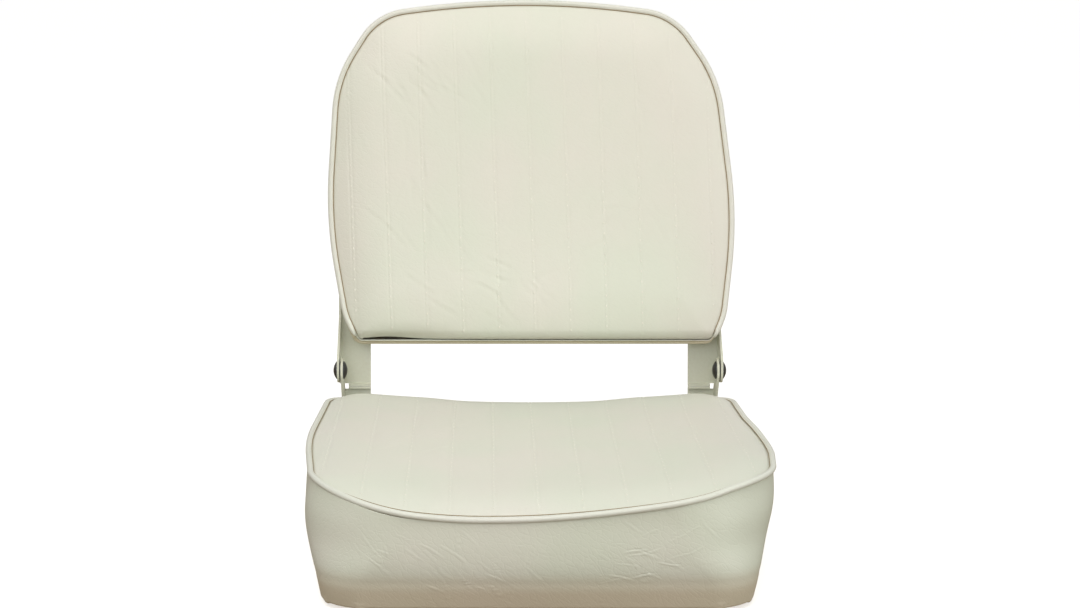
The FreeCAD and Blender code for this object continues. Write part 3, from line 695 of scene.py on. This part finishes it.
# %% Seat panel
SEAT_SPACING = 37.9
PANEL_PITCH = 4.4
BORDER_INSET = 1.7
BORDER_STEP = 3.0
LINE_PIN = 2.1
EDGE_PIN = 2.0
PUFF_CAP = 0.7
GROOVE_DEPTH = 0.38
GROOVE_ASIDE = 1.7
GROOVE_WIDTH = 0.6
EDGE_DROP = 0.9
EDGE_WIDTH = 1.5
PANEL_CREASE_WIDTH = 2.2
seat_lines = [i * SEAT_SPACING for i in range(-5, 6)]


def line_distance(x, lines):
    """How far each x is from the nearest sewn line."""
    return np.min(np.abs(x[:, None] - np.array(lines)[None, :]), axis=1)


def channel_grooves(x, lines):
    """Two fine grooves, one on each side of a sewn line, where the thread pulls the vinyl down."""
    return -GROOVE_DEPTH * bell(line_distance(x, lines), GROOVE_ASIDE, GROOVE_WIDTH)


def edge_turn(distance):
    """How far a panel's edge turns down beside its welt."""
    return -EDGE_DROP * bell(distance, 0.0, EDGE_WIDTH)


def seam_panel(name, seam, lines, spacing, lift, place, material):
    """A sewn panel: flat triangles lifted to the crowned surface, puffed and refined."""
    border = even_loop(seam + inward_of(seam) * BORDER_INSET, BORDER_STEP)
    flat, faces = panel_mesh(border, lines, spacing, PANEL_PITCH)
    made = make_piece(name, place(flat, lift(flat)), faces, material)
    on_line = line_distance(flat[:, 0], lines) < LINE_PIN
    on_edge = inside_distance(flat, border) < EDGE_PIN
    puff(made, on_line | on_edge, PUFF_CAP)
    refine(made)
    return made, border


def seat_place(flat, height):
    """Flat places of the seat at their heights."""
    return np.column_stack([flat, height])


def seat_lift(flat):
    """Height of the seat's top over flat places."""
    return seat_top_z(flat, inside_distance(flat, seat_seam))


seat_cover, seat_border = seam_panel("seat_cover_top", seat_seam, seat_lines, SEAT_SPACING, seat_lift,
                                     seat_place, cover_vinyl)
seat_points = vertex_array(seat_cover)
seat_flat = seat_points[:, :2]
seat_depth = inside_distance(seat_flat, seat_border)
# A family's values are its seed, middle, direction, count, spread, length and depth.
seat_strokes = crease_families((3, (-120, 40), 60, 9, (30, 60), 60, 0.25),
                               (4, (120, 60), 115, 9, (30, 50), 60, 0.25),
                               (5, (20, 20), 80, 8, (60, 80), 50, 0.18))
seat_points[:, 2] += channel_grooves(seat_flat[:, 0], seat_lines)
seat_points[:, 2] += edge_turn(seat_depth)
seat_points[:, 2] += crease_depth(seat_flat, seat_strokes, PANEL_CREASE_WIDTH)
set_vertices(seat_cover, seat_points)
thicken(seat_cover, VINYL)
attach(seat_cover, "seat")
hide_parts("seat_top_panel", "seat_foam")
print("seat panel:", len(seat_points), "points")

# %% [markdown]
# ### Seat boxing
# The side band runs from under the welt to the hem, which is pulled round the board and stapled. The front
# has short slanting creases, and the hem is gathered in small folds at the front corners.

# %% Seat boxing
UNDER_WELT = 1.4
ROLL = 0.3
FRONT_FACE = -150.0
FRONT_CREASE_WIDTH = 0.55
HEM_FOLDS = ((-153, -192), (-181, -172), (156, -192), (183, -170))
HEM_FOLD_DEPTH = 1.5
HEM_FOLD_WIDTH = 4.0
HEM_FOLD_TOP = 4.0


def seat_boxing_mesh():
    """Rows of points from the welt down to the hem, and how many there are."""
    rows = []
    top = seat_seam_z(seat_seam[:, 0], seat_seam[:, 1]) - UNDER_WELT
    outward = -inward_of(seat_seam)
    ahead = climb(seat_seam[:, 1], -130.0, -180.0)
    for share in np.linspace(0, 1, 60):
        height = top * (1 - share)
        roll = ROLL * ahead * bell(height, 36.0, 10.0) - ROLL * bell(height, 22.5, 3.5)
        rows.append(np.column_stack([seat_side(height) + outward * roll[:, None], height]))
    hem = seat_loops[0]
    inward = inward_of(hem)
    for inset, height in ((0.35, -0.8), (1.2, -VINYL), (12.0, -VINYL), (41.0, -VINYL), (43.4, -VINYL),
                          (43.6, -0.1)):
        rows.append(np.column_stack([hem + inward * inset, np.full(len(hem), height)]))
    return np.concatenate(rows), len(rows)


seat_wall, seat_rows = seat_boxing_mesh()
seat_boxing = make_piece("seat_cover_boxing", seat_wall, band_faces(seat_rows, len(seat_seam)),
                         shaded_band_vinyl)
refine(seat_boxing)
seat_wall = vertex_array(seat_boxing)
front_strokes = crease_families((11, (-75, 42), -50, 14, (22, 13), 30, 0.42),
                                (12, (-55, 22), -35, 9, (18, 8), 28, 0.42),
                                (13, (-125, 45), -45, 8, (22, 14), 26, 0.35),
                                (14, (95, 52), 30, 12, (24, 12), 24, 0.5),
                                (15, (100, 44), -36, 14, (26, 14), 26, 0.5),
                                (16, (-8, 55), 70, 3, (12, 8), 44, 0.3))
creased = crease_depth(seat_wall[:, [0, 2]], front_strokes, FRONT_CREASE_WIDTH)
creased = np.where(seat_wall[:, 1] < FRONT_FACE, creased, 0.0)
seat_wall = seat_wall + normals_of(seat_boxing) * creased[:, None]
for fold_x, fold_y in HEM_FOLDS:
    away = np.hypot(seat_wall[:, 0] - fold_x, seat_wall[:, 1] - fold_y)
    seat_wall[:, 2] -= HEM_FOLD_DEPTH * bell(away, 0.0, HEM_FOLD_WIDTH) * (seat_wall[:, 2] < HEM_FOLD_TOP)
set_vertices(seat_boxing, seat_wall)
thicken(seat_boxing, VINYL)
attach(seat_boxing, "seat")
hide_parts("seat_boxing")
print("seat boxing:", seat_rows, "rows of", len(seat_seam))

# %% [markdown]
# ### Seat welt
# The welt is a vinyl strip sewn round a cord. Its line of stitches lies in the dark gap on the panel's
# side, so a taupe strip follows it there, partly the thread and partly painted shade of the gap.

# %% Seat welt
WELT_STEP = 4.0
SEAT_SEAM_STRIP_RADIUS = 0.38


def seat_welt_line(outset, lift):
    """The middle of the welt, set off from the seam."""
    loop = even_loop(seat_seam - inward_of(seat_seam) * outset, WELT_STEP)
    return np.column_stack([loop, seat_seam_z(loop[:, 0], loop[:, 1]) + lift])


def seat_thread_and_shade_line():
    """The taupe strip, thread and painted shade, lies beside the welt, and in front a little further up the
    panel.
    """
    inset = 2.0 + 3.0 * climb(seat_seam[:, 1], -150.0, -190.0)
    loop = even_loop(seat_seam + inward_of(seat_seam) * inset[:, None], WELT_STEP)
    return np.column_stack([loop, seat_lift(loop) + 0.3])


seat_welt = make_piece("seat_welt", *tube(seat_welt_line(0.9, 0.4), WELT_RADIUS, closed=True),
                       piping_vinyl)
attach(seat_welt, "seat")
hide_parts("seat_piping")
seat_seam_thread_and_shade = make_piece("seat_seam_thread_and_shade",
                              *tube(seat_thread_and_shade_line(), SEAT_SEAM_STRIP_RADIUS, sides=8, closed=True),
                              thread_and_seam_shade)
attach(seat_seam_thread_and_shade, "seat")
print("seat welt and its thread")

# %% [markdown]
# ### Channel stitches
# Along each sewn line a stitch shows as a pale dot every ten to thirteen millimetres, so each gets a short
# capsule of thread, half sunk in the vinyl.

# %% Stitches
STITCH_HALF = np.array([0.0, 1.1])
STITCH_SIDES = 6
STITCH_RINGS = ((0.0, 0.3), (0.15, 0.8), (0.5, 1.0), (0.85, 0.8), (1.0, 0.3))
STITCH_CLEAR = 6.0
LINE_SHIFT = 3.7


def stitch_faces():
    """Faces of one stitch, with its two ends closed."""
    last = (len(STITCH_RINGS) - 1) * STITCH_SIDES
    ends = [tuple(range(STITCH_SIDES))[::-1], tuple(range(last, last + STITCH_SIDES))]
    return band_faces(len(STITCH_RINGS), STITCH_SIDES) + ends


def stitches(name, lines, spacing_along, low, high, surface, thick, material):
    """Short capsules along the sewn lines; surface gives the points for flat places."""
    flat = []
    for k, x in enumerate(lines):
        start = low + (k * LINE_SHIFT) % spacing_along
        along = np.arange(start, high, spacing_along)
        flat.append(np.stack([np.full(len(along), x), along], 1))
    flat = np.concatenate(flat)
    starts = surface(flat + STITCH_HALF)
    ends = surface(flat - STITCH_HALF)
    keep = ~np.isnan(starts[:, 0]) & ~np.isnan(ends[:, 0])
    angles = np.linspace(0, 2 * math.pi, STITCH_SIDES, endpoint=False)
    points, faces = [], []
    for a, b in zip(starts[keep], ends[keep]):
        axis = (b - a) / np.linalg.norm(b - a)
        side = np.cross(axis, [1.0, 0.0, 0.0])
        side /= np.linalg.norm(side)
        across = np.cross(axis, side)
        ring = np.cos(angles)[:, None] * side + np.sin(angles)[:, None] * across
        base = len(points) * STITCH_SIDES
        points += [a + (b - a) * share + radius * thick * ring for share, radius in STITCH_RINGS]
        faces += [tuple(base + v for v in face) for face in stitch_faces()]
    return make_piece(name, np.concatenate(points), faces, material), int(keep.sum())


def seat_stitch_surface(flat):
    """The seat's top, with the stitches sunk a little, away from the edge."""
    distance = inside_distance(flat, seat_border)
    place = seat_place(flat, seat_lift(flat) - 0.15)
    return np.where((distance > STITCH_CLEAR)[:, None], place, np.nan)


seat_stitches, count = stitches("seat_channel_stitches", seat_lines, 12.5, -200.0, 200.0,
                                seat_stitch_surface, 0.6, stitch_thread)
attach(seat_stitches, "seat")
print("seat stitches:", count)

# %% [markdown]
# ## Back cushion
# The back is drawn upright about the hinge pivot and then leaned eight degrees. Its cover was pulled on a
# little askew: seen from in front it leans to the left, so its front is sheared, and the shear fades out
# towards the board, where the cover is held.

# %% Back outlines
PIVOT = np.array([0.0, 196.0, 125.0])
LEAN = math.radians(8.0)
BACK_RISE = 30.0
BACK_TOP = 371.5
BACK_REAR = 24.8
SEAM_FORWARD = 10.0
SEAM_ROLL = 12.0
SHEAR = 0.0325
SHEAR_LEVEL = 200.0


def back_plan(lower, widest, upper, ends):
    """Corners of the back's outline as (x, height, radius)."""
    right = [(BOARD_HALF - 6.0 + lower, BACK_RISE - ends, 5.0),
             (BOARD_HALF + 6.0 + lower, BACK_RISE + 28.0, 60.0),
             (BOARD_HALF + 19.5 + widest, BACK_RISE + 124.0, 420.0),
             (BOARD_HALF + 6.0 + upper, BACK_TOP - 76.0, 123.0),
             (BOARD_HALF - 37.0 + upper, BACK_TOP - 11.5 + ends, 60.0)]
    left = [(-u, v, radius) for u, v, radius in reversed(right)]
    return right + [(0, BACK_TOP + 8.0 + ends, 850.0)] + left


back_seam_plan = back_plan(0, 0, 0, 0)
back_plans = [(-44.0, back_seam_plan), (-10.0, back_seam_plan), (2.0, back_seam_plan),
              (12.0, back_plan(0.0, 9.0, 0.8, 0.5)), (BACK_REAR, back_plan(-3.5, -5.0, -3.5, -2.0))]
back_seam, back_counts = rounded_loop(back_seam_plan, step=OUTLINE_STEP)
back_loops = [rounded_loop(plan, counts=back_counts)[0] for depth, plan in back_plans]
back_side = through_levels([depth for depth, plan in back_plans], back_loops)


def back_seam_d(along):
    """How far the seam stands in front of the pivot; it rolls back at the lower edge."""
    share = climb(along, BACK_RISE, BACK_RISE + SEAM_ROLL)
    return SEAM_FORWARD - SEAM_FORWARD * (1 - share) ** 2


def sheared(behind, along):
    """How far the cover leans to the left: fully in front, and not at all at the board."""
    return SHEAR * (along - SHEAR_LEVEL) * climb(behind, 22.0, 4.0)


def lean_back(points):
    """Shears upright points as the cover sits, leans them and moves them to the pivot."""
    x, y, z = np.asarray(points, float).T
    return np.column_stack([x - sheared(y, z),
                            PIVOT[1] + y * math.cos(LEAN) + z * math.sin(LEAN),
                            PIVOT[2] - y * math.sin(LEAN) + z * math.cos(LEAN)])


print("back seam:", len(back_seam), "points")

# %% [markdown]
# ### Back panel
# The front panel has the same channels, closer together, and fine creases that run down to the right. At
# its lower edge it rolls under before it meets the lower welt.

# %% Back panel
BACK_SPACING = 36.3
TUCK_DEPTH = 5.5
back_lines = [i * BACK_SPACING for i in range(-5, 6)]


def back_lift(flat):
    """How far the padded front stands before the pivot."""
    return back_seam_d(flat[:, 1]) + 14.0 * swell(inside_distance(flat, back_seam), 58.0)


def back_place(flat, depth):
    """Flat places of the back, leaned."""
    return lean_back(np.column_stack([flat[:, 0], -depth, flat[:, 1]]))


back_cover, back_border = seam_panel("back_cover_front", back_seam, back_lines, BACK_SPACING, back_lift,
                                     back_place, cover_vinyl)


def back_flat_of(points):
    """The flat places that leaned points come from."""
    y = points[:, 1] - PIVOT[1]
    z = points[:, 2] - PIVOT[2]
    behind = y * math.cos(LEAN) - z * math.sin(LEAN)
    along = y * math.sin(LEAN) + z * math.cos(LEAN)
    return np.column_stack([points[:, 0] + sheared(behind, along), along])


back_points = vertex_array(back_cover)
back_flat = back_flat_of(back_points)
back_depth = inside_distance(back_flat, back_border)
back_strokes = crease_families((21, (-95, 285), -50, 14, (24, 20), 46, 0.3),
                               (22, (-120, 190), -75, 12, (30, 40), 60, 0.28),
                               (23, (-30, 85), -35, 16, (34, 20), 36, 0.4),
                               (24, (60, 110), 40, 8, (40, 40), 40, 0.22),
                               (25, (140, 180), 100, 8, (20, 60), 50, 0.2))
across, along = back_flat.T
relief = channel_grooves(across, back_lines)
relief = relief + edge_turn(back_depth) + crease_depth(back_flat, back_strokes, PANEL_CREASE_WIDTH)
# The lower left is tucked in, and there the panel's edge gapes a little above the welt.
relief = relief - TUCK_DEPTH * (bell(across, -130.0, 42.0) * climb(along, 52.0, 35.0) ** 2)
near_edge = bell(along, BACK_RISE, 7.0)
gape = near_edge * (0.3 + 2.4 * bell(across, -152.0, 26.0)) * (across > -176)
forward = np.array([0.0, -math.cos(LEAN), math.sin(LEAN)])
upward = np.array([0.0, math.sin(LEAN), math.cos(LEAN)])
set_vertices(back_cover, back_points + relief[:, None] * forward + gape[:, None] * upward)
thicken(back_cover, VINYL)
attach(back_cover, "backrest")
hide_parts("back_front_panel", "back_foam")
print("back panel:", len(back_points), "points")

# %% [markdown]
# ### Back boxing
# The band goes round the edge and stands out most half way back.

# %% Back boxing
def back_boxing_mesh():
    """Rows of points from the seam to the rear, and how many there are."""
    rows = []
    front = -back_seam_d(back_seam[:, 1]) + UNDER_WELT
    for share in np.linspace(0, 1, 22):
        depth = front + (BACK_REAR - front) * share
        loop = back_side(depth)
        rows.append(np.column_stack([loop[:, 0], depth, loop[:, 1]]))
    return lean_back(np.concatenate(rows)), len(rows)


back_wall, back_rows = back_boxing_mesh()
back_boxing = make_piece("back_cover_boxing", back_wall,
                         [face[::-1] for face in band_faces(back_rows, len(back_seam))], cover_vinyl)
thicken(back_boxing, VINYL)
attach(back_boxing, "backrest")
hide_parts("back_boxing")
print("back boxing:", back_rows, "rows of", len(back_seam))

# %% [markdown]
# ### Rear panel
# The rear is a flat panel over the board, turned in at its edge, with a fine groove where it is sewn. The
# hinge leaves are screwed on top of it.

# %% Rear panel
REAR_RINGS = ((0.2, -0.2), (0.0, 0.3), (0.4, 0.9), (1.2, VINYL), (8.0, VINYL), (9.0, 0.9), (10.0, VINYL),
              (12.0, VINYL), (16.0, VINYL))


def back_rear_mesh():
    """Rings of points from the edge inwards, and a face within them."""
    loop = even_loop(back_loops[-1], 5.0)
    inward = inward_of(loop)
    rows = []
    for inset, height in REAR_RINGS:
        ring = loop + inward * inset
        rows.append(np.column_stack([ring[:, 0], np.full(len(ring), BACK_REAR + height), ring[:, 1]]))
    faces = [face[::-1] for face in band_faces(len(rows), len(loop))]
    first = (len(rows) - 1) * len(loop)
    faces.append(tuple(range(first, first + len(loop)))[::-1])
    return lean_back(np.concatenate(rows)), faces


back_rear = make_piece("back_cover_rear", *back_rear_mesh(), cover_vinyl)
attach(back_rear, "backrest")
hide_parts("back_rear_panel")
print("rear panel:", len(back_rear.data.vertices), "points")

# %% [markdown]
# ### Back welts
# One welt goes up a side, over the top and down the other side. A second one closes the lower edge from
# underneath and rises a little behind both corners; its vinyl is darker and browner, as painted shade under
# the rolled edge.

# %% Back welts
BACK_SEAM_STRIP_RADIUS = 0.5
LOWER_WELT_OUTSET = 2.4
LOWER_WELT_LIFT = 1.3
LOWER_WELT_BEHIND = 9.5


def back_welt_line(outset, lift, low):
    """The part of a line beside the seam that lies above a height."""
    loop = even_loop(back_seam - inward_of(back_seam) * outset, WELT_STEP)
    first = int(np.argmin(np.hypot(loop[:, 0], loop[:, 1] - BACK_RISE)))
    loop = np.roll(loop, -first, 0)
    loop = loop[loop[:, 1] > low]
    return back_place(loop, back_seam_d(loop[:, 1]) + lift)


back_welt = make_piece("back_welt", *tube(back_welt_line(0.8, 0.0, 33.5), WELT_RADIUS), piping_vinyl)
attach(back_welt, "backrest")
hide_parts("back_piping")
# A taupe strip beside the upper welt: partly its thread, partly painted shade of the seam's gap.
back_seam_thread_and_shade = make_piece("back_seam_thread_and_shade",
                              *tube(back_welt_line(-2.0, 0.9, 35.0), BACK_SEAM_STRIP_RADIUS, sides=8),
                              thread_and_seam_shade)
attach(back_seam_thread_and_shade, "backrest")


def lower_welt_line():
    """The lower part of a line round the widest outline of the band."""
    belly = back_loops[3]
    loop = even_loop(belly - inward_of(belly) * LOWER_WELT_OUTSET, WELT_STEP)
    first = int(np.argmax(loop[:, 1] - np.abs(loop[:, 0])))
    loop = np.roll(loop, -first, 0)
    loop = loop[loop[:, 1] < BACK_RISE + 28.0]
    return back_place(loop + np.array([0.0, LOWER_WELT_LIFT]), np.full(len(loop), -LOWER_WELT_BEHIND))


# The lower welt's darker, browner vinyl is painted shade under the back's rolled edge.
lower_welt = make_piece("back_lower_welt", *tube(lower_welt_line(), LOWER_WELT_RADIUS), shaded_piping_vinyl)
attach(lower_welt, "backrest")
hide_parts("back_lower_piping")
print("back welts and the thread beside the upper one")

# %% [markdown]
# ### Back stitches
# The back's stitches stand out near its foot and sink into the vinyl towards the top.

# %% Back stitches
def back_stitch_surface(flat):
    """The back's front, with the stitches sunk, away from the edge."""
    distance = inside_distance(flat, back_border)
    sunk = 0.05 + 0.45 * climb(flat[:, 1], 120.0, 240.0)
    place = back_place(flat, back_lift(flat) - sunk)
    return np.where((distance > STITCH_CLEAR)[:, None], place, np.nan)


back_stitches, count = stitches("back_channel_stitches", back_lines, 10.5, 30.0, 372.0,
                                back_stitch_surface, 0.62, stitch_thread)
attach(back_stitches, "backrest")
print("back stitches:", count)

# %% [markdown]
# ## Hinges, boards and fasteners
# These keep their solids, and each gets its finish by the last words of its name.

# %% Finishes of the solids
finishes = {"bracket": painted_steel, "pivot_rivet": rivet_steel, "pivot_washer": rivet_steel,
            "screws": zinc_steel, "tee_nuts": zinc_steel, "staples": zinc_steel,
            "board": plywood, "foam": foam_rubber}
for name, solid in nodes.items():
    for word, finish in finishes.items():
        if name.endswith(word):
            solid.data.materials.clear()
            solid.data.materials.append(finish)
print("finishes set on", sum(any(n.endswith(w) for w in finishes) for n in nodes), "solids")

# %% [markdown]
# ## Floor
# The photograph is a cut-out on white under broad soft light from above and in front. The floor is pale and
# plain, and it throws no light back at the seat.

# %% Stage
FLOOR_HALF = 9e4
FLOOR_NEAR = -2e4
FLOOR_FAR = 16e4
floor_material = blank_material("pale_paper_floor")[0]
floor_shader = floor_material.node_tree.nodes["Principled BSDF"]
floor_shader.inputs["Base Color"].default_value = linear("#F4F3F0")
floor_shader.inputs["Roughness"].default_value = 0.9
floor_shader.inputs["Emission Color"].default_value = linear("#FFFFFF")
floor_shader.inputs["Emission Strength"].default_value = 0.55
floor_z = cad_box[0][2] / MM
floor = make_piece("floor", [(-FLOOR_HALF, FLOOR_NEAR, floor_z), (FLOOR_HALF, FLOOR_NEAR, floor_z),
                             (FLOOR_HALF, FLOOR_FAR, floor_z), (-FLOOR_HALF, FLOOR_FAR, floor_z)],
                   [(0, 1, 2, 3)], floor_material)
floor.visible_diffuse = False
floor.visible_glossy = False
print("stage: floor at", round(floor_z, 2), "mm")

# %% [markdown]
# ### Light
# Four soft boxes light the seat. The sky is white above and brownish below.

# %% Light
def soft_box(name, place, target, size, power, colour):
    """A wide lamp at a place, in metres, that looks at a target."""
    data = bpy.data.lights.new(name, "AREA")
    data.shape = "RECTANGLE"
    data.size, data.size_y = size
    data.energy = power
    data.color = linear(colour)[:3]
    made = bpy.data.objects.new(name, data)
    made.location = place
    made.rotation_euler = (Vector(target) - Vector(place)).to_track_quat("-Z", "Y").to_euler()
    scene.collection.objects.link(made)


soft_box("overhead_box", (-0.4, -1.3, 2.2), (0, 0.1, 0.2), (2.2, 1.6), 21.5, "#FFF7E6")
soft_box("front_box", (-0.5, -2.7, 1.3), (0, 0, 0.3), (1.6, 1.2), 13.2, "#F6FAFF")
soft_box("right_box", (2.2, -1.3, 0.8), (0, 0, 0.22), (1.2, 1.4), 17.0, "#FCFFFD")
soft_box("left_box", (-1.9, -1.7, 1.4), (0, 0, 0.3), (1.0, 1.4), 5.0, "#F0F5FF")
world = bpy.data.worlds.new("studio")
world.use_nodes = True
sky = world.node_tree
direction = add(sky, "ShaderNodeTexCoord").outputs["Generated"]
up = add(sky, "ShaderNodeSeparateXYZ", {"Vector": direction}).outputs["Z"]
shade = add(sky, "ShaderNodeMapRange", {"Value": up, "From Min": -0.25, "From Max": 0.35})
sky_ramp = add(sky, "ShaderNodeValToRGB", {"Fac": shade.outputs["Result"]})
sky_ramp.color_ramp.elements[0].color = linear("#B7A283")
sky_ramp.color_ramp.elements[1].color = linear("#FFFFFF")
sky.links.new(sky_ramp.outputs["Color"], sky.nodes["Background"].inputs["Color"])
sky.nodes["Background"].inputs["Strength"].default_value = 0.52
scene.world = world
scene.view_settings.view_transform = "Standard"
print("light:", [light.name for light in bpy.data.lights])
